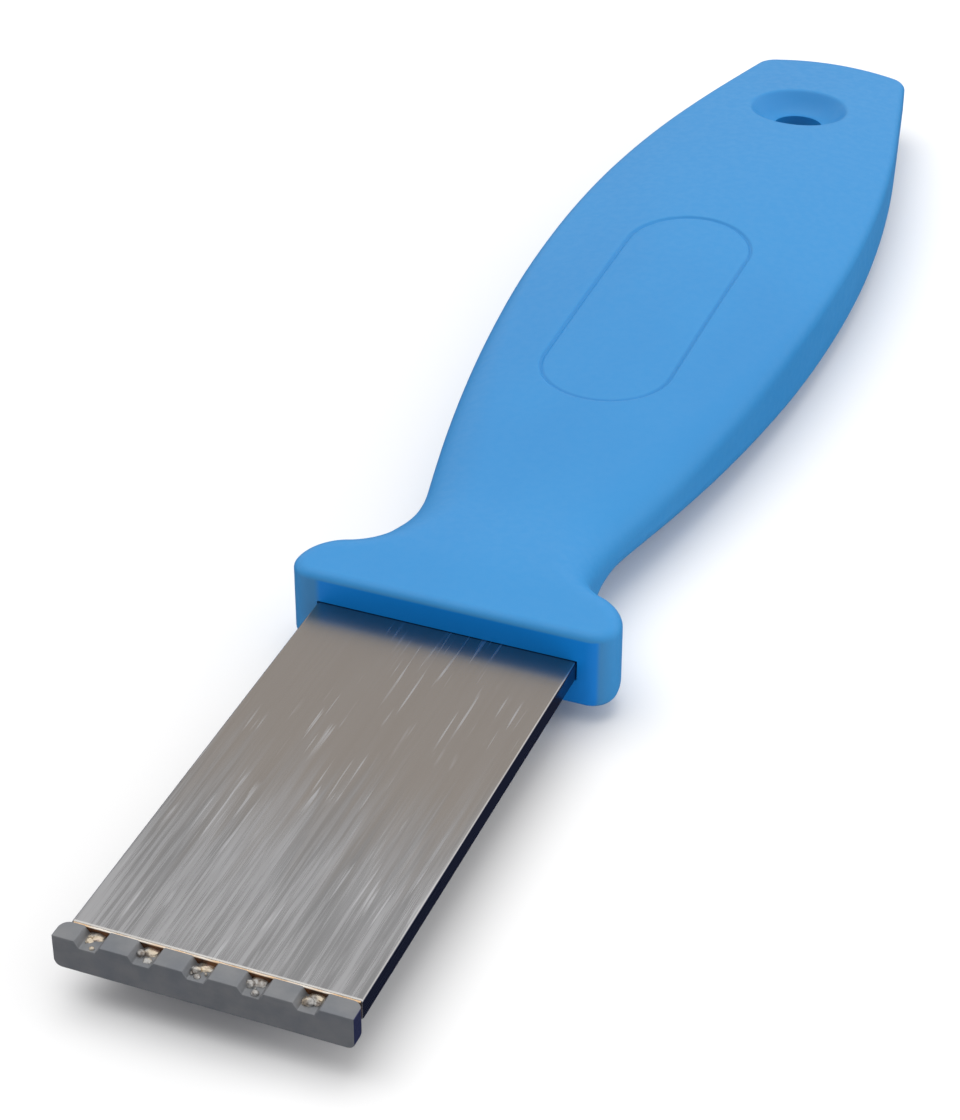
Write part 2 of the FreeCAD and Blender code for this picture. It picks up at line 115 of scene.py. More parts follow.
def crossing(centre_a, radius_a, centre_b, radius_b, side):
    """The crossing of two circles on the left (side 1) or right (-1) of the line from a to b."""
    (ax, ay), (bx, by) = centre_a, centre_b
    apart = math.hypot(bx - ax, by - ay)
    along = (radius_a**2 - radius_b**2 + apart**2) / (2 * apart)
    up = side * math.sqrt(radius_a**2 - along**2)
    ux, uy = (bx - ax) / apart, (by - ay) / apart
    return ax + ux * along - uy * up, ay + uy * along + ux * up


def angle_from(centre, point):
    return math.atan2(point[1] - centre[1], point[0] - centre[0])


def full_turn(centre, point):
    """The same angle, from 0 to a full turn."""
    return angle_from(centre, point) % (2 * math.pi)


def arc_samples(centre, radius, first, last, count):
    """Points and outward normals along an arc; a clockwise arc is a hollow in the outline."""
    outward = 1 if last > first else -1
    samples = []
    for step in range(count + 1):
        angle = first + (last - first) * step / count
        across, along = math.cos(angle), math.sin(angle)
        point = (centre[0] + radius * across, centre[1] + radius * along)
        samples.append((*point, outward * across, outward * along))
    return samples


def line_samples(start, end, normal, count):
    samples = []
    for step in range(count + 1):
        share = step / count
        x = start[0] + (end[0] - start[0]) * share
        y = start[1] + (end[1] - start[1]) * share
        samples.append((x, y, *normal))
    return samples


# steps along each stretch of the outline; the surface's grid has its corners in the middle of
# the front round and of the end corner
HALF_COLUMNS = 30
FRONT_ARC_STEPS = 16
GUARD_SIDE_STEPS = 4
LOBE_STEPS = 20
FILLET_STEPS = 18
NECK_STEPS = 22
FRONT_PALM_STEPS = 90
REAR_PALM_STEPS = 56
TAPER_STEPS = 26
END_ARC_STEPS = 12


def outline_samples():
    """Right half of the outline from the front's middle to the tail's middle.

    Returns the samples, and the numbers of the two that are the corners of the surface's grid.
    """
    front_centre = (GUARD_HALF_WIDTH - FRONT_ROUND, FRONT_ROUND)
    lobe_centre = (GUARD_HALF_WIDTH - LOBE_ROUND, GUARD_DEPTH - LOBE_ROUND)
    front_palm_centre = (PALM_HALF_WIDTH - PALM_FRONT_CURVE, PALM_PLACE)
    rear_palm_centre = (PALM_HALF_WIDTH - PALM_REAR_CURVE, PALM_PLACE)
    neck_x = NECK_HALF_WIDTH + NECK_CURVE
    reach = PALM_FRONT_CURVE + NECK_CURVE
    neck_centre = (neck_x, PALM_PLACE - math.sqrt(reach**2 - (neck_x - front_palm_centre[0]) ** 2))
    fillet_centre = crossing(
        lobe_centre, LOBE_ROUND + NECK_FILLET, neck_centre, NECK_CURVE - NECK_FILLET, 1
    )
    taper_angle = math.asin((TAPER_START - PALM_PLACE) / PALM_REAR_CURVE)
    normal = (math.cos(taper_angle), math.sin(taper_angle))
    taper_point = (rear_palm_centre[0] + PALM_REAR_CURVE * normal[0], TAPER_START)
    end_centre = (0.0, HANDLE_LENGTH - END_CURVE)
    # the corner's centre lies its radius inside the taper line, and so far inside the end's circle
    foot = (taper_point[0] - END_CORNER * normal[0], taper_point[1] - END_CORNER * normal[1])
    along = (-normal[1], normal[0])
    gap = (foot[0] - end_centre[0], foot[1] - end_centre[1])
    half_b = gap[0] * along[0] + gap[1] * along[1]
    rest = gap[0] ** 2 + gap[1] ** 2 - (END_CURVE - END_CORNER) ** 2
    run = -half_b + math.sqrt(half_b**2 - rest)
    corner_centre = (foot[0] + along[0] * run, foot[1] + along[1] * run)
    taper_end = (taper_point[0] + along[0] * run, taper_point[1] + along[1] * run)
    end_angle = angle_from(end_centre, corner_centre)
    quarter = math.pi / 2
    lobe_turn = angle_from(lobe_centre, fillet_centre)
    neck_start = full_turn(neck_centre, fillet_centre)
    neck_end = full_turn(neck_centre, front_palm_centre)
    palm_start = angle_from(front_palm_centre, neck_centre)
    side_start = (GUARD_HALF_WIDTH, FRONT_ROUND)
    side_end = (GUARD_HALF_WIDTH, lobe_centre[1])
    front_steps = HALF_COLUMNS - FRONT_ARC_STEPS // 2
    end_steps = HALF_COLUMNS - END_ARC_STEPS // 2
    stretches = [
        line_samples((0, 0), (front_centre[0], 0), (0, -1), front_steps),
        arc_samples(front_centre, FRONT_ROUND, -quarter, 0, FRONT_ARC_STEPS),
        line_samples(side_start, side_end, (1, 0), GUARD_SIDE_STEPS),
        arc_samples(lobe_centre, LOBE_ROUND, 0, lobe_turn, LOBE_STEPS),
        arc_samples(
            fillet_centre, NECK_FILLET, full_turn(fillet_centre, lobe_centre), neck_start, FILLET_STEPS
        ),
        arc_samples(neck_centre, NECK_CURVE, neck_start, neck_end, NECK_STEPS),
        arc_samples(front_palm_centre, PALM_FRONT_CURVE, palm_start, 0, FRONT_PALM_STEPS),
        arc_samples(rear_palm_centre, PALM_REAR_CURVE, 0, taper_angle, REAR_PALM_STEPS),
        line_samples(taper_point, taper_end, normal, TAPER_STEPS),
        arc_samples(corner_centre, END_CORNER, taper_angle, end_angle, END_ARC_STEPS),
        arc_samples(end_centre, END_CURVE, end_angle, quarter, end_steps),
    ]
    samples = [stretches[0][0]]
    for stretch in stretches:
        samples.extend(stretch[1:])
    last_corner = len(samples) - 1 - HALF_COLUMNS
    return samples, HALF_COLUMNS, last_corner


# ---------------------------------------------------------------- handle: heights

def smooth_value(y, stations):
    """Cubic through (place, value) pairs, level at the first."""
    if y <= stations[0][0]:
        return stations[0][1]
    if y >= stations[-1][0]:
        return stations[-1][1]
    slopes = [0.0]
    for before, after in zip(stations, stations[2:]):
        slopes.append((after[1] - before[1]) / (after[0] - before[0]))
    slopes.append((stations[-1][1] - stations[-2][1]) / (stations[-1][0] - stations[-2][0]))
    for number in range(len(stations) - 1):
        start, value = stations[number]
        end, following = stations[number + 1]
        if y <= end:
            width = end - start
            t = (y - start) / width
            return (
                value * (1 + 2 * t) * (1 - t) ** 2
                + slopes[number] * width * t * (1 - t) ** 2
                + following * t * t * (3 - 2 * t)
                + slopes[number + 1] * width * t * t * (t - 1)
            )


# half thickness on the axis and curvature across it, along the handle
MIDDLE_HEIGHTS = [
    (0, 5.1),
    (9, 5.6),
    (24, 4.8),
    (50, 6.15),
    (80, 7.15),
    (108, 6.85),
    (138, 4.95),
    (HANDLE_LENGTH, 2.75),
]
CROWN_CURVATURES = [(8, 0.0), (24, 1 / 230), (60, 1 / 100), (110, 1 / 95), (HANDLE_LENGTH, 1 / 150)]
# the rim's rounding: how far it falls, and how far it reaches inwards
RIM_ROUNDS = [
    (0, 1.05), (8, 2.5), (20, 4.0), (40, 3.4), (60, 2.4), (80, 1.6), (130, 1.15), (HANDLE_LENGTH, 1.0)
]
RIM_REACHES = [
    (0, 1.2), (8, 3.2), (20, 6.5), (40, 5.6), (60, 3.1), (80, 1.7), (130, 1.15), (HANDLE_LENGTH, 1.0)
]

HOLE_PLACE = 139.8
HOLE_RADIUS = 3.6
DISH_RADIUS = 7.2
DISH_DEPTH = 3.05
DISH_SOFTNESS = 0.05

PAD_CENTRE = (-0.3, 71.6)
PAD_HALF_WIDTH = 8.9
PAD_HALF_LENGTH = 25.0
PAD_STEP = 0.14
PAD_GROOVE = 0.24
PAD_GROOVE_WIDTH = 0.75


def dish_drop(x, y):
    """How far the bowl round the hanging hole lies below the crowned surface."""
    from_rim = (DISH_RADIUS - math.hypot(x, y - HOLE_PLACE)) / (DISH_RADIUS - HOLE_RADIUS)
    inward = (from_rim + math.sqrt(from_rim**2 + DISH_SOFTNESS**2)) / 2
    outside = (-2 + math.sqrt(4 + DISH_SOFTNESS**2)) / 2
    return DISH_DEPTH * math.sin(min(inward - outside, 1) * math.pi / 2)


def pad_distance(x, y):
    """Distance outside the pad's long rounded outline, negative inside it."""
    straight = PAD_HALF_LENGTH - PAD_HALF_WIDTH
    past = max(abs(y - PAD_CENTRE[1]) - straight, 0)
    return math.hypot(x - PAD_CENTRE[0], past) - PAD_HALF_WIDTH


def pad_drop(x, y):
    """The pad lies a small step below the palm, with a fine rounded groove along its outline."""
    share = -pad_distance(x, y) / PAD_GROOVE_WIDTH
    if share <= 0:
        return 0
    share = min(share, 1)
    groove = math.sin(share * math.pi) ** 2
    return PAD_STEP * share * share * (3 - 2 * share) + PAD_GROOVE * groove


def surface_height(x, y):
    crowned = smooth_value(y, MIDDLE_HEIGHTS) - x * x * smooth_value(y, CROWN_CURVATURES) / 2
    return crowned - dish_drop(x, y) - pad_drop(x, y)


# ---------------------------------------------------------------- handle: mesh

ROUND_STEPS = 10
WALL_STEPS = 6
BORE_STEPS = 4
# rings of vertices: their radii round the hole, and their distances outside the pad's outline
DISH_RINGS = [
    9.2, 8.6, 8.1, 7.8, 7.6, 7.45, 7.3, 7.15, 7.0, 6.8, 6.5, 6.1, 5.6, 5.1, 4.6, 4.2, 3.9, 3.7, 3.6
]
PAD_RINGS = [
    1.6, 0.8, 0.3, 0.02, -0.07, -0.16, -0.25, -0.34, -0.43, -0.52, -0.61, -0.7, -0.79, -1.0, -1.6
]
# the blocks of the grid that make way for those rings: half their columns, and the length
# that they leave before and behind the pad or the hole's middle
PAD_HALF_COLUMNS = 21
PAD_MARGIN = 3.0
DISH_HALF_COLUMNS = 20
DISH_BLOCK_HALF_LENGTH = 10.5
SHARP_DEGREES = 35


class Surface:
    """Vertices and faces of one mesh under construction, in the guard's frame."""

    def __init__(self):
        self.vertices = []
        self.faces = []

    def add(self, x, y, z):
        self.vertices.append((x, y, z))
        return len(self.vertices) - 1

    def quad(self, a, b, c, d, upward):
        self.faces.append((a, b, c, d) if upward else (d, c, b, a))

    def grid_face(self, index, i, j, upward):
        """The quad of a grid between rows i, i + 1 and columns j, j + 1."""
        self.quad(index[i, j], index[i, j + 1], index[i + 1, j + 1], index[i + 1, j], upward)

    def wall(self, bottom_ring, top_ring, levels):
        """Levels of quads that join two rings of as many vertices."""
        ring = bottom_ring
        for level in range(1, levels):
            following = []
            for low, high in zip(bottom_ring, top_ring):
                a, b = self.vertices[low], self.vertices[high]
                following.append(self.add(*(blend(a[k], b[k], level / levels) for k in range(3))))
            self.band(ring, following, True)
            ring = following
        self.band(ring, top_ring, True)

    def band(self, outer, inner, upward):
        """Quads between two closed rings of vertices, counter-clockwise seen from above."""
        count = len(outer)
        for here in range(count):
            there = (here + 1) % count
            self.quad(outer[here], outer[there], inner[there], inner[here], upward)


def blend(a, b, share):
    return a + (b - a) * share


def shares_along(side):
    """How far across, from 0 to 1, each point of a side lies."""
    first, last = side[0][0], side[-1][0]
    return [(point[0] - first) / (last - first) for point in side]


def grid_between(bottom, right, top, left):
    """Rows of points between four sides, bottom and top running left to right.

    Each row divides the way from left to right as the bottom and the top do, so that no column
    runs over a side, and bends as they bend.
    """
    rows, columns = len(right) - 1, len(bottom) - 1
    low_shares, high_shares = shares_along(bottom), shares_along(top)
    grid = []
    for i in range(rows + 1):
        up = i / rows
        row = []
        for j in range(columns + 1):
            over = blend(low_shares[j], high_shares[j], up)
            x = blend(left[i][0], right[i][0], over)
            level = blend(left[i][1], right[i][1], over)
            low_bend = bottom[j][1] - blend(bottom[0][1], bottom[-1][1], low_shares[j])
            high_bend = top[j][1] - blend(top[0][1], top[-1][1], high_shares[j])
            row.append((x, level + blend(low_bend, high_bend, up)))
        grid.append(row)
    return grid


def block_rim(rows, columns):
    """Grid places round a block, counter-clockwise from its first corner."""
    (first_row, last_row), (first_column, last_column) = rows, columns
    rim = [(first_row, j) for j in range(first_column, last_column)]
    rim += [(i, last_column) for i in range(first_row, last_row)]
    rim += [(last_row, j) for j in range(last_column, first_column, -1)]
    rim += [(i, first_column) for i in range(last_row, first_row, -1)]
    return rim


def row_near(grid, y):
    middle = len(grid[0]) // 2
    return min(range(len(grid)), key=lambda i: abs(grid[i][middle][1] - y))


def pad_point(x, y, offset):
    """The point at that distance outside the pad's outline that lies nearest to x, y."""
    straight = PAD_HALF_LENGTH - PAD_HALF_WIDTH
    core_y = PAD_CENTRE[1] + max(-straight, min(straight, y - PAD_CENTRE[1]))
    away = math.hypot(x - PAD_CENTRE[0], y - core_y)
    reach = (PAD_HALF_WIDTH + offset) / away
    return PAD_CENTRE[0] + (x - PAD_CENTRE[0]) * reach, core_y + (y - core_y) * reach


def sides_of_ring(ring, width, height):
    """A block's closed ring as four sides: bottom, right, top and left, as grid_between has them."""
    return [
        ring[: width + 1],
        ring[width : width + height + 1],
        ring[width + height : 2 * width + height + 1][::-1],
        (ring[2 * width + height :] + ring[:1])[::-1],
    ]


def hole_point(x, y, radius):
    away = math.hypot(x, y - HOLE_PLACE)
    return x * radius / away, HOLE_PLACE + (y - HOLE_PLACE) * radius / away


def build_side(surface, outline, corners, upward):
    """The upper or lower half of the handle. Returns its outermost ring and the hole's ring.

    The surface is a grid with two blocks left out. Rings fill them, round the pad and the hole.
    """
    sign = 1 if upward else -1
    first, last = corners

    def inset(sample, share):
        x, y, nx, ny = sample
        inward = smooth_value(y, RIM_REACHES) * (1 - math.cos(share * math.pi / 2))
        fall = smooth_value(y, RIM_ROUNDS) * (1 - math.sin(share * math.pi / 2))
        return x - nx * inward, y - ny * inward, fall

    def mirrored(points):
        return [(-point[0], *point[1:]) for point in points]

    def four_sides(share):
        right = [inset(sample, share) for sample in outline]
        left = mirrored(right)
        bottom = left[first:0:-1] + right[: first + 1]
        top = left[last:-1] + right[: last - 1 : -1]
        return bottom, right[first : last + 1], top, left[first : last + 1]

    def ring_points(share):
        bottom, right, top, left = four_sides(share)
        return bottom[:-1] + right[:-1] + top[:0:-1] + left[:0:-1]

    bottom, right, top, left = four_sides(1)
    grid = grid_between(bottom, right, top, left)
    rows, columns = len(grid) - 1, len(grid[0]) - 1
    middle = columns // 2

    def lift(x, y):
        return surface.add(x, y, sign * surface_height(x, y))

    def block(centre_y, half_length, half_columns):
        block_rows = (row_near(grid, centre_y - half_length), row_near(grid, centre_y + half_length))
        return block_rows, (middle - half_columns, middle + half_columns)

    pad_block = block(PAD_CENTRE[1], PAD_HALF_LENGTH + PAD_MARGIN, PAD_HALF_COLUMNS)
    hole_block = block(HOLE_PLACE, DISH_BLOCK_HALF_LENGTH, DISH_HALF_COLUMNS)
    blocks = (pad_block, hole_block)

    def inside_block(i, j):
        return any(r[0] < i < r[1] and c[0] < j < c[1] for r, c in blocks)

    def face_in_block(i, j):
        return any(r[0] <= i < r[1] and c[0] <= j < c[1] for r, c in blocks)

    index = {}
    for i in range(rows + 1):
        for j in range(columns + 1):
            if not inside_block(i, j):
                index[i, j] = lift(*grid[i][j])
    for i in range(rows):
        for j in range(columns):
            if not face_in_block(i, j):
                surface.grid_face(index, i, j, upward)

    def ring_at(spots):
        return [index[spot] for spot in spots]

    # the pad's step: rings that follow its outline, then a small grid that fills it
    spots = block_rim(*pad_block)
    ring = ring_at(spots)
    for offset in PAD_RINGS:
        points = [pad_point(*grid[i][j], offset) for i, j in spots]
        inner = [lift(*point) for point in points]
        surface.band(ring, inner, upward)
        ring = inner
    height, width = (high - low for low, high in pad_block)
    fill = grid_between(*sides_of_ring(points, width, height))
    filled = dict(zip(block_rim((0, height), (0, width)), ring))
    for i in range(1, height):
        for j in range(1, width):
            filled[i, j] = lift(*fill[i][j])
    for i in range(height):
        for j in range(width):
            surface.grid_face(filled, i, j, upward)

    # the dish: rings that close in on the hole
    spots = block_rim(*hole_block)
    ring = ring_at(spots)
    for radius in DISH_RINGS:
        inner = [lift(*hole_point(*grid[i][j], radius)) for i, j in spots]
        surface.band(ring, inner, upward)
        ring = inner
    hole_ring = ring

    # the rounded rim, from the surface out and down to the wall
    ring = ring_at(block_rim((0, rows), (0, columns)))
    for step in range(ROUND_STEPS - 1, -1, -1):
        share = step / ROUND_STEPS
        wider = []
        for x, y, fall in ring_points(share):
            wider.append(surface.add(x, y, sign * (surface_height(x, y) - fall)))
        surface.band(wider, ring, upward)
        ring = wider
    return ring, hole_ring


def make_handle():
    outline, first, last = outline_samples()
    surface = Surface()
    upper, upper_hole = build_side(surface, outline, (first, last), True)
    lower, lower_hole = build_side(surface, outline, (first, last), False)
    surface.wall(lower, upper, WALL_STEPS)
    surface.wall(upper_hole, lower_hole, BORE_STEPS)
    piece = new_piece("handle_moulding", surface.vertices, surface.faces)
    cut_blade_slot(piece)
    shade_smooth(piece, SHARP_DEGREES)
    return piece


SLOT_PLAY = 0.08
SLOT_DEPTH = 4.5


def cut_blade_slot(piece):
    """A slot a hair larger than the plate, which leaves the thin dark line round it."""
    half_width = BLADE_HALF_WIDTH + SLOT_PLAY
    half_height = HALF_PLATE + SLOT_PLAY
    corners = []
    for y in (-1.0, SLOT_DEPTH):
        for z in (-half_height, half_height):
            for x in (-half_width, half_width):
                corners.append((x, y, z))
    faces = [(0, 1, 3, 2), (4, 6, 7, 5), (0, 4, 5, 1), (2, 3, 7, 6), (0, 2, 6, 4), (1, 5, 7, 3)]
    cutter = new_piece("slot_cutter", corners, faces)
    boolean = piece.modifiers.new("slot", "BOOLEAN")
    boolean.operation = "DIFFERENCE"
    boolean.solver = "EXACT"
    boolean.object = cutter
    apply_modifiers(piece)
    bpy.data.objects.remove(cutter)


# ---------------------------------------------------------------- steel pieces

def refined_copy(node, name, bevel_mm, segments):
    """The CAD node's own shape, with its flat faces made whole and its edges softened."""
    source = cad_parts[node]
    piece = bpy.data.objects.new(name, source.data.copy())
    bpy.context.scene.collection.objects.link(piece)
    working = bmesh.new()
    working.from_mesh(piece.data)
    bmesh.ops.remove_doubles(working, verts=working.verts, dist=1e-7)
    bmesh.ops.dissolve_limit(
        working, angle_limit=math.radians(1.0), verts=working.verts, edges=working.edges
    )
    working.to_mesh(piece.data)
    working.free()
    bevel = piece.modifiers.new("edge_break", "BEVEL")
    bevel.width = bevel_mm * MM
    bevel.segments = segments
    bevel.limit_method = "ANGLE"
    bevel.angle_limit = math.radians(30)
    apply_modifiers(piece)
    shade_smooth(piece, 60)
    weighted = piece.modifiers.new("flat_faces", "WEIGHTED_NORMAL")
    weighted.keep_sharp = True
    apply_modifiers(piece)
    return piece


# ---------------------------------------------------------------- braze

NOTCH_PITCH = 6.0
NOTCH_COUNT = 5
NOTCH_MIDDLE = -0.9
NOTCH_DEPTH = 0.85
BAR_BACK = bar_high[1] - GUARD_Y
BAR_FRONT = bar_low[1] - GUARD_Y
# how far the lumps stay inside the bar's back, its front and the plate's top
LUMP_BACK_GAP = 0.01
LUMP_FRONT_GAP = 0.12
LUMP_TOP_GAP = 0.12


def notch_middles():
    first = NOTCH_MIDDLE - NOTCH_PITCH * (NOTCH_COUNT - 1) / 2
    return [first + NOTCH_PITCH * number for number in range(NOTCH_COUNT)]


def add_lump(working, centre, radii, roughness, seed):
    """A squashed ball of frozen filler with an uneven skin, in the guard's frame."""
    ball = bmesh.ops.create_icosphere(working, subdivisions=4, radius=1.0)
    offset = Vector((seed * 3.7, seed * 1.3, seed * 2.1))
    for vertex in ball["verts"]:
        direction = vertex.co.normalized()
        coarse = noise.noise(direction * 1.6 + offset)
        fine = noise.noise(direction * 5.0 + offset)
        swell = 1 + roughness * (0.8 * coarse + 0.28 * fine)
        x, y, z = (direction[k] * radii[k] * swell + centre[k] for k in range(3))
        y = max(min(y, BAR_BACK - LUMP_BACK_GAP), BAR_FRONT + LUMP_FRONT_GAP)
        z = min(z, HALF_PLATE - LUMP_TOP_GAP)
        vertex.co = place(x, y, z)


# drops of frozen filler in each notch, from the left: distance right of the notch's middle,
# distance forward from the bar's back, height above the notch's floor, half width, half height
SPATTER = [
    [(0.0, 0.3, -0.05, 0.9, 0.30), (-0.5, 1.0, -0.10, 0.55, 0.30), (0.3, 2.1, -0.02, 0.30, 0.24)],
    [(0.1, 0.3, 0.00, 0.9, 0.30), (-0.7, 1.0, 0.10, 0.50, 0.40), (0.3, 1.6, -0.10, 0.60, 0.28)],
    [(0.2, 0.3, -0.05, 0.9, 0.30), (-0.6, 1.1, 0.05, 0.60, 0.42), (-0.1, 1.9, -0.05, 0.40, 0.26)],
    [(0.0, 0.3, 0.00, 0.9, 0.30), (-0.7, 1.0, 0.05, 0.58, 0.45), (0.25, 2.0, 0.05, 0.44, 0.34)],
    [(0.2, 0.3, 0.00, 0.9, 0.30), (-0.35, 1.2, 0.08, 0.66, 0.46), (0.5, 1.0, 0.00, 0.50, 0.34)],
]
DROP_ROUGHNESS = 0.28
DROP_DEPTH_SHARE = 0.85
CRUMBS = 2
CRUMB_ROUGHNESS = 0.4
SPATTER_SEED = 7


def make_spatter():
    """Frozen filler in each notch: a bead along the plate's end, drops, and crumbs round them."""
    draw = random.Random(SPATTER_SEED)
    working = bmesh.new()
    floor = HALF_PLATE - NOTCH_DEPTH
    seed = 0
    for middle, drops in zip(notch_middles(), SPATTER):
        for across, forward, height, half_width, half_height in drops:
            seed += 1
            centre = (middle + across, BAR_BACK - forward, floor + height)
            radii = (half_width, half_width * DROP_DEPTH_SHARE, half_height)
            add_lump(working, centre, radii, DROP_ROUGHNESS, seed)
        for _ in range(CRUMBS):
            seed += 1
            radius = draw.uniform(0.10, 0.18)
            centre = (
                middle + draw.uniform(-0.9, 0.7),
                BAR_BACK - draw.uniform(0.6, 1.9),
                floor + draw.uniform(0.02, 0.25),
            )
            add_lump(working, centre, (radius, radius, radius), CRUMB_ROUGHNESS, seed)
    mesh = bpy.data.meshes.new("braze_spatter")
    working.to_mesh(mesh)
    working.free()
    piece = bpy.data.objects.new("braze_spatter", mesh)
    bpy.context.scene.collection.objects.link(piece)
    shade_smooth(piece, 60)
    return piece


SEAM_STEPS = 260
SEAM_ROUND_STEPS = 6
SEAM_HALF_WIDTH = BLADE_HALF_WIDTH - 0.25
# how far it bites into both steels, starts above the plate's lower face, lies below its upper
# face, and waves about that level
SEAM_BITE = 0.02
SEAM_FOOT = 0.2
SEAM_SINK = 0.09
SEAM_WAVE = 0.05


def make_seam():
    """The layer of filler between plate and bar: its top edge is rounded and a little wavy."""
    back, front = BLADE_TIP, BAR_BACK
    middle, half = (back + front) / 2, (back - front) / 2 + SEAM_BITE
    low = -HALF_PLATE + SEAM_FOOT
    vertices = []
    for step in range(SEAM_STEPS + 1):
        x = -SEAM_HALF_WIDTH + 2 * SEAM_HALF_WIDTH * step / SEAM_STEPS
        wave = noise.noise(Vector((x * 0.9, 0.0, 0.0))) + 0.5 * noise.noise(Vector((x * 3.1, 4.0, 0.0)))
        top = HALF_PLATE - SEAM_SINK + SEAM_WAVE * wave
        vertices.append((x, middle + half, low))
        for turn in range(SEAM_ROUND_STEPS + 1):
            angle = math.pi * turn / SEAM_ROUND_STEPS
            vertices.append((x, middle + half * math.cos(angle), top - half + half * math.sin(angle)))
        vertices.append((x, middle - half, low))
    row = SEAM_ROUND_STEPS + 3
    faces = [tuple(range(row - 1, -1, -1)), tuple(range(SEAM_STEPS * row, SEAM_STEPS * row + row))]
    for step in range(SEAM_STEPS):
        for corner in range(row):
            following = (corner + 1) % row
            a, b = step * row + corner, step * row + following
            faces.append((a, b, b + row, a + row))
    piece = new_piece("braze_layer", vertices, faces)
    shade_smooth(piece, 50)
    return piece


# ---------------------------------------------------------------- materials

class Nodes:
    """Short calls for building the node tree of a material or of the world."""

    def __init__(self, owner, shader="Principled BSDF"):
        owner.use_nodes = True
        self.owner = owner
        self.tree = owner.node_tree
        self.shader = self.tree.nodes[shader]

    def node(self, kind, inputs=None, **settings):
        made = self.tree.nodes.new(kind)
        for key, value in settings.items():
            setattr(made, key, value)
        for key, value in (inputs or {}).items():
            self.feed(made.inputs[key], value)
        return made

    def feed(self, socket, value):
        if isinstance(value, bpy.types.NodeSocket):
            self.tree.links.new(value, socket)
        else:
            socket.default_value = value

    def math(self, operation, *values, clamp=False):
        made = self.tree.nodes.new("ShaderNodeMath")
        made.operation = operation
        made.use_clamp = clamp
        for number, value in enumerate(values):
            self.feed(made.inputs[number], value)
        return made.outputs[0]

    def position(self, scale):
        """Object coordinates, which are the row's metres, stretched by three factors."""
        coordinates = self.node("ShaderNodeTexCoord").outputs["Object"]
        mapping = self.node("ShaderNodeMapping", {"Vector": coordinates})
        mapping.inputs["Scale"].default_value = scale
        return mapping.outputs["Vector"]

    def noise(self, scale, size, detail=4.0, roughness=0.55):
        """Noise from 0 to 1: scale stretches space, size is the noise's own scale."""
        return self.node(
            "ShaderNodeTexNoise",
            {"Vector": self.position(scale), "Scale": size, "Detail": detail, "Roughness": roughness},
        ).outputs["Fac"]

    def steps(self, value, low, high, new_low=0.0, new_high=1.0):
        return self.node(
            "ShaderNodeMapRange",
            {0: value, 1: low, 2: high, 3: new_low, 4: new_high},
            interpolation_type="SMOOTHSTEP",
        ).outputs[0]

    def mix(self, share, first, second, blend_type="MIX"):
        made = self.node("ShaderNodeMix", data_type="RGBA", blend_type=blend_type)
        self.feed(made.inputs[0], share)
        self.feed(made.inputs[6], first)
        self.feed(made.inputs[7], second)
        return made.outputs[2]

    def bump(self, height, distance, strength=1.0, normal=None):
        inputs = {"Height": height, "Distance": distance, "Strength": strength}
        if normal is not None:
            inputs["Normal"] = normal
        return self.node("ShaderNodeBump", inputs).outputs["Normal"]

    def axis(self, name):
        """The row's X, Y or Z in millimetres."""
        coordinates = self.node("ShaderNodeTexCoord").outputs["Object"]
        metres = self.node("ShaderNodeSeparateXYZ", {"Vector": coordinates}).outputs[name]
        return self.math("DIVIDE", metres, MM)

    def set(self, **sockets):
        for name, value in sockets.items():
            self.feed(self.shader.inputs[name.replace("_", " ")], value)


def colour(red, green, blue):
    return (red, green, blue, 1.0)


# painted shade round the blade's slot, a deeper blue on the guard: its middle, half width and top, from
# the plate's own middle
SLOT_SHADE_MIDDLE = 1.3
SLOT_SHADE_HALF_WIDTH = 17.3
SLOT_SHADE_TOP = 4.25
# the blade's streaks set in between these two places along the row's Y, raggedly
STREAKS_BEGIN = -56.0
STREAKS_FULL = -84.0
STREAKS_RAGGEDNESS = 30.0
# how far the painted shade of a cut side runs round onto its edge
CUT_SIDE_SHADE_BAND = 0.11


def plastic_material():
    nodes = Nodes(bpy.data.materials.new("blue_moulded_plastic"))
    cloud = nodes.noise((1, 0.5, 1), 28.0, 3.0)
    fine = nodes.noise((1, 1, 1), 900.0, 3.0)
    grain = nodes.noise((1, 1, 1), 3500.0, 2.0)
    pale, full = colour(0.016, 0.246, 0.580), colour(0.011, 0.228, 0.555)
    base = nodes.mix(nodes.steps(cloud, 0.35, 0.65), full, pale)
    # painted shade of the blade: the flat of the guard is a purer, deeper blue round the slot
    across = nodes.math("ABSOLUTE", nodes.math("SUBTRACT", nodes.axis("X"), SLOT_SHADE_MIDDLE))
    high = nodes.math("SUBTRACT", nodes.axis("Z"), MIDDLE_Z)
    inside = nodes.steps(across, SLOT_SHADE_HALF_WIDTH + 0.5, SLOT_SHADE_HALF_WIDTH - 0.5)
    below = nodes.steps(high, SLOT_SHADE_TOP + 0.15, SLOT_SHADE_TOP - 0.15)
    front = nodes.steps(nodes.axis("Y"), GUARD_Y + 0.6, GUARD_Y + 0.3)
    slot_shade = nodes.math("MULTIPLY", nodes.math("MULTIPLY", inside, below), front)
    nodes.set(Base_Color=nodes.mix(slot_shade, base, colour(0.001, 0.235, 0.76)))
    uneven = nodes.steps(cloud, 0.3, 0.7, 0.0, 0.05)
    nodes.set(Roughness=nodes.math("ADD", nodes.steps(fine, 0.3, 0.7, 0.40, 0.48), uneven))
    skin = nodes.bump(fine, 0.00003, 0.25)
    nodes.set(Normal=nodes.bump(grain, 0.000012, 0.3, skin))
    nodes.shader.inputs["IOR"].default_value = 1.49
    # less sheen inside the painted shade round the slot
    nodes.set(Specular_IOR_Level=nodes.math("MULTIPLY_ADD", slot_shade, -0.6, 0.8))
    return nodes.owner


def cut_face(nodes, distance, half_width):
    """1 on the faces that cut a piece off at its half width, where painted shade goes, 0 elsewhere."""
    return nodes.steps(distance, half_width - CUT_SIDE_SHADE_BAND, half_width - 0.4 * CUT_SIDE_SHADE_BAND)


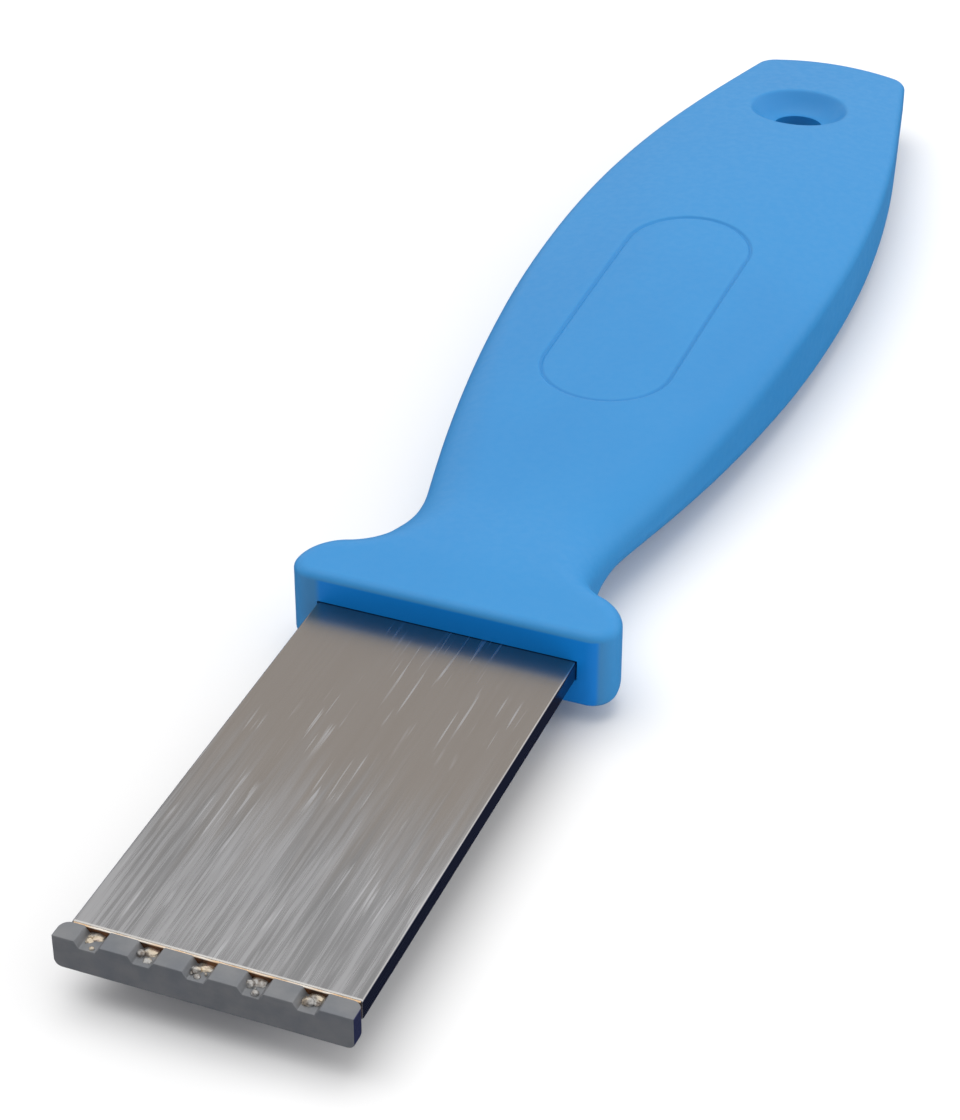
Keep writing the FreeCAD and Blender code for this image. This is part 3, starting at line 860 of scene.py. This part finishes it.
def blade_material():
    """Brushed along its length: plain and warm by the guard, finely streaked towards the tip."""
    nodes = Nodes(bpy.data.materials.new("brushed_blade_steel"))
    hair = nodes.noise((1, 0.012, 1), 7000.0, 2.0, 0.6)
    streak = nodes.noise((1, 0.022, 1), 2300.0, 4.0, 0.65)
    band = nodes.noise((1, 0.06, 1), 420.0, 3.0)
    ragged = nodes.noise((1, 0.05, 1), 900.0, 3.0)
    scratch = nodes.noise((1, 0.035, 1), 2600.0, 1.0, 0.4)
    patch = nodes.noise((1, 0.5, 1), 120.0, 2.0)
    along = nodes.axis("Y")
    ragged_along = nodes.math("MULTIPLY_ADD", ragged, STREAKS_RAGGEDNESS, along)
    towards_tip = nodes.steps(ragged_along, STREAKS_BEGIN, STREAKS_FULL)
    brushed = nodes.math(
        "ADD",
        nodes.math("MULTIPLY", nodes.steps(streak, 0.40, 0.62), 0.6),
        nodes.math("MULTIPLY", nodes.steps(band, 0.40, 0.60), 0.45),
    )
    hairlines = nodes.math("MULTIPLY", nodes.steps(hair, 0.35, 0.7), 0.12)
    brushed = nodes.math("ADD", brushed, hairlines, clamp=True)
    share = nodes.math("MULTIPLY", brushed, nodes.math("MULTIPLY_ADD", towards_tip, 0.62, 0.05))
    lines = nodes.math("MULTIPLY", nodes.steps(scratch, 0.60, 0.72), nodes.steps(patch, 0.44, 0.60))
    share = nodes.math("ADD", share, nodes.math("MULTIPLY", lines, 0.7), clamp=True)
    plain = nodes.mix(towards_tip, colour(0.37, 0.335, 0.305), colour(0.315, 0.315, 0.32))
    base = nodes.mix(share, plain, colour(0.60, 0.60, 0.615))
    from_axis = nodes.math("ABSOLUTE", nodes.axis("X"))
    side = BLADE_HALF_WIDTH
    tip = BLADE_TIP + GUARD_Y
    # painted highlight: a bright line along the upper edges and along the tip
    near_top = nodes.steps(nodes.axis("Z"), MIDDLE_Z + 0.9, MIDDLE_Z + 1.0)
    side_highlight = nodes.math("MULTIPLY", nodes.steps(from_axis, side - 0.22, side - 0.16), near_top)
    side_highlight = nodes.math("MULTIPLY", side_highlight, 0.6)
    edge = nodes.math("MAXIMUM", side_highlight, nodes.steps(along, tip + 0.30, tip + 0.16))
    edge = nodes.math("MULTIPLY", edge, nodes.steps(patch, 0.2, 0.6, 0.6, 1.0))
    base = nodes.mix(edge, base, colour(0.88, 0.86, 0.83))
    # painted shade: the blade's cut sides are a dark navy
    nodes.set(Base_Color=nodes.mix(cut_face(nodes, from_axis, side), base, colour(0.045, 0.055, 0.11)))
    nodes.set(Roughness=nodes.steps(share, 0.0, 1.0, 0.24, 0.34))
    nodes.shader.inputs["Metallic"].default_value = 1.0
    coarse = nodes.bump(streak, 0.00002, 0.25)
    nodes.set(Normal=nodes.bump(hair, 0.000008, 0.15, coarse))
    return nodes.owner


def bar_material():
    nodes = Nodes(bpy.data.materials.new("dark_bar_steel"))
    mottle = nodes.noise((1, 1, 1), 330.0, 4.0)
    fine = nodes.noise((0.25, 1, 1), 2200.0, 3.0)
    stain = nodes.noise((1, 1, 1), 120.0, 2.0)
    dark, light = colour(0.21, 0.22, 0.235), colour(0.26, 0.265, 0.275)
    base = nodes.mix(nodes.steps(mottle, 0.3, 0.7), dark, light)
    stained = nodes.math("MULTIPLY", nodes.steps(stain, 0.5, 0.7), 0.3)
    base = nodes.mix(stained, base, colour(0.17, 0.19, 0.23))
    half_bar = (bar_high[0] - bar_low[0]) / 2
    bar_middle = (bar_high[0] + bar_low[0]) / 2
    from_middle = nodes.math("ABSOLUTE", nodes.math("SUBTRACT", nodes.axis("X"), bar_middle))
    # painted shade: the bar's cut ends are a dark navy
    shaded_cut_end = cut_face(nodes, from_middle, half_bar)
    nodes.set(Base_Color=nodes.mix(shaded_cut_end, base, colour(0.035, 0.042, 0.12)))
    nodes.set(Roughness=nodes.steps(fine, 0.3, 0.7, 0.34, 0.46))
    nodes.shader.inputs["Metallic"].default_value = 0.6
    worn = nodes.bump(mottle, 0.00004, 0.3)
    nodes.set(Normal=nodes.bump(fine, 0.00002, 0.4, worn))
    return nodes.owner


def seam_material():
    """Filler between plate and bar: dark brown flux deepened with painted shade, and a painted
    highlight along the top.
    """
    nodes = Nodes(bpy.data.materials.new("braze_seam_flux_shade_highlight"))
    mottle = nodes.noise((1, 1, 1), 900.0, 3.0)
    wave = nodes.noise((1, 1, 1), 260.0, 2.0)
    height = nodes.axis("Z")
    ragged = nodes.math("MULTIPLY_ADD", wave, 0.1, height)
    top = MIDDLE_Z + HALF_PLATE
    # painted highlight: a pale, warm line along the seam's top
    rim = nodes.steps(ragged, top - 0.20, top - 0.10)
    # dark brown of the flux, made darker with painted shade
    flux_and_shade, rust = colour(0.030, 0.011, 0.004), colour(0.16, 0.060, 0.018)
    brown_and_shade = nodes.mix(nodes.steps(mottle, 0.35, 0.65), flux_and_shade, rust)
    pale_highlight, warm_highlight = colour(0.93, 0.86, 0.77), colour(0.85, 0.58, 0.34)
    rim_highlight = nodes.mix(nodes.steps(wave, 0.4, 0.6), pale_highlight, warm_highlight)
    nodes.set(Base_Color=nodes.mix(rim, brown_and_shade, rim_highlight))
    nodes.set(Roughness=nodes.steps(mottle, 0.3, 0.7, 0.55, 0.35))
    nodes.shader.inputs["Metallic"].default_value = 0.15
    nodes.set(Normal=nodes.bump(mottle, 0.00006, 0.6))
    return nodes.owner


def spatter_material():
    """Frozen drops of silver-bearing filler: silver, straw and rose patches."""
    nodes = Nodes(bpy.data.materials.new("braze_filler_spatter"))
    hue = nodes.noise((1, 1, 1), 420.0, 2.0)
    dirt = nodes.noise((1, 1, 1), 1100.0, 4.0)
    grey = colour(0.55, 0.54, 0.52)
    straw = colour(0.80, 0.68, 0.52)
    rose = colour(0.82, 0.64, 0.57)
    base = nodes.mix(nodes.steps(hue, 0.40, 0.56), grey, straw)
    base = nodes.mix(nodes.steps(hue, 0.56, 0.68), base, rose)
    base = nodes.mix(nodes.steps(dirt, 0.32, 0.50), colour(0.26, 0.22, 0.19), base)
    nodes.set(Base_Color=base, Roughness=nodes.steps(dirt, 0.35, 0.6, 0.50, 0.24))
    nodes.shader.inputs["Metallic"].default_value = 0.85
    nodes.set(Normal=nodes.bump(dirt, 0.00008, 0.6))
    return nodes.owner


def floor_material():
    nodes = Nodes(bpy.data.materials.new("pale_floor"))
    speckle = nodes.noise((1, 1, 1), 30.0, 2.0)
    nodes.set(Base_Color=nodes.mix(speckle, colour(0.91, 0.91, 0.91), colour(0.93, 0.93, 0.93)))
    nodes.shader.inputs["Roughness"].default_value = 0.9
    nodes.shader.inputs["Specular IOR Level"].default_value = 0.1
    return nodes.owner


def paint(piece, material):
    piece.data.materials.clear()
    piece.data.materials.append(material)


# ---------------------------------------------------------------- pieces

handle = make_handle()
paint(handle, plastic_material())
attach(handle, "root")
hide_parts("handle")

blade = refined_copy("blade", "blade_plate", 0.10, 3)
paint(blade, blade_material())
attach(blade, "root")
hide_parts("blade")

bar = refined_copy("notched_bar", "tip_bar", 0.12, 3)
paint(bar, bar_material())
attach(bar, "root")
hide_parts("notched_bar")

seam = make_seam()
paint(seam, seam_material())
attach(seam, "root")
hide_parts("braze_seam")

spatter = make_spatter()
paint(spatter, spatter_material())
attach(spatter, "root")
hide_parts("braze_beads")


# ---------------------------------------------------------------- floor, light and camera

FLOOR_REACH = 4.0


def make_floor():
    """Hidden from reflections, which would put the white floor's glare on the steel."""
    mesh = bpy.data.meshes.new("floor")
    reach = FLOOR_REACH
    corners = [(-reach, -reach, 0), (reach, -reach, 0), (reach, reach, 0), (-reach, reach, 0)]
    mesh.from_pydata(corners, [], [(0, 1, 2, 3)])
    floor = bpy.data.objects.new("floor", mesh)
    bpy.context.scene.collection.objects.link(floor)
    paint(floor, floor_material())
    floor.visible_glossy = False


def aim(item, target):
    direction = Vector(target) - item.location
    item.rotation_mode = "QUATERNION"
    item.rotation_quaternion = direction.to_track_quat("-Z", "Y")


# sine of the height above the horizon, and the dome's brightness there
SKY = [
    (-0.9, (0.06, 0.07, 0.11)),
    (-0.3, (0.03, 0.035, 0.07)),
    (0.0, (0.20, 0.21, 0.24)),
    (0.26, (0.95, 0.95, 0.97)),
    (0.47, (0.85, 0.84, 0.84)),
    (0.58, (0.50, 0.48, 0.46)),
    (0.68, (0.85, 0.85, 0.85)),
    (0.98, (0.9, 0.9, 0.9)),
]

# in front of the tool: the glow near the floor, and the share of the dome's brightness
FRONT_GLOW = 0.19
FRONT_SHADE = 0.6


def make_light(name, location, target, size_m, watts):
    """A round soft lamp, hidden from reflections, so that the steel mirrors only the dome."""
    lamp = bpy.data.lights.new(name, "AREA")
    lamp.shape = "DISK"
    lamp.size = size_m
    lamp.energy = watts
    item = bpy.data.objects.new(name, lamp)
    bpy.context.scene.collection.objects.link(item)
    item.location = location
    item.visible_glossy = False
    aim(item, target)


def make_world():
    """Studio dome: bright overhead, with a dimmer belt at middle height, and dark below."""
    nodes = Nodes(bpy.data.worlds.new("studio"), "Background")
    direction = nodes.node("ShaderNodeTexCoord").outputs["Generated"]
    split = nodes.node("ShaderNodeSeparateXYZ", {"Vector": direction})
    up, along = split.outputs["Z"], split.outputs["Y"]
    ramp = nodes.node("ShaderNodeValToRGB", {"Fac": nodes.math("MULTIPLY_ADD", up, 0.5, 0.5)})
    for sine, shade in SKY:
        stop = ramp.color_ramp.elements.new((sine + 1) / 2)
        stop.color = colour(*shade)
    ramp.color_ramp.elements.remove(ramp.color_ramp.elements[0])
    # dimmer in front, with a soft grey glow low down that keeps the front faces from going black
    dim = nodes.steps(along, -0.1, -0.6, 1.0, FRONT_SHADE)
    dome = nodes.mix(1.0, ramp.outputs["Color"], dim, "MULTIPLY")
    ahead = nodes.steps(along, -0.1, -0.7, 0.0, FRONT_GLOW)
    glow = nodes.math("MULTIPLY", nodes.steps(up, 0.1, -0.35), ahead)
    nodes.set(Color=nodes.mix(1.0, dome, glow, "ADD"))
    bpy.context.scene.world = nodes.owner


# the camera's place in the guard's frame, from the plate's upper face, and its view direction
CAMERA_PLACE = (105.64, -253.66, 197.79)
CAMERA_VIEW = (-0.3062, 0.7665, -0.5645)
CAMERA_LENS = 95.05


def make_camera():
    camera = bpy.data.cameras.new("camera")
    camera.sensor_width = 36.0
    camera.lens = CAMERA_LENS
    camera.clip_start = 0.01
    item = bpy.data.objects.new("camera", camera)
    bpy.context.scene.collection.objects.link(item)
    x, y, z = CAMERA_PLACE
    item.location = place(x, y, z + HALF_PLATE)
    item.rotation_mode = "QUATERNION"
    item.rotation_quaternion = Vector(CAMERA_VIEW).to_track_quat("-Z", "Y")
    bpy.context.scene.camera = item


make_floor()
make_world()
make_light("overhead", (-0.2, -0.05, 1.0), (0, 0, 0), 1.2, 6.0)
make_light("right_fill", (0.9, 0.3, 0.35), (0, 0.02, 0), 0.6, 2.8)
make_camera()
bpy.context.scene.view_settings.view_transform = "Standard"
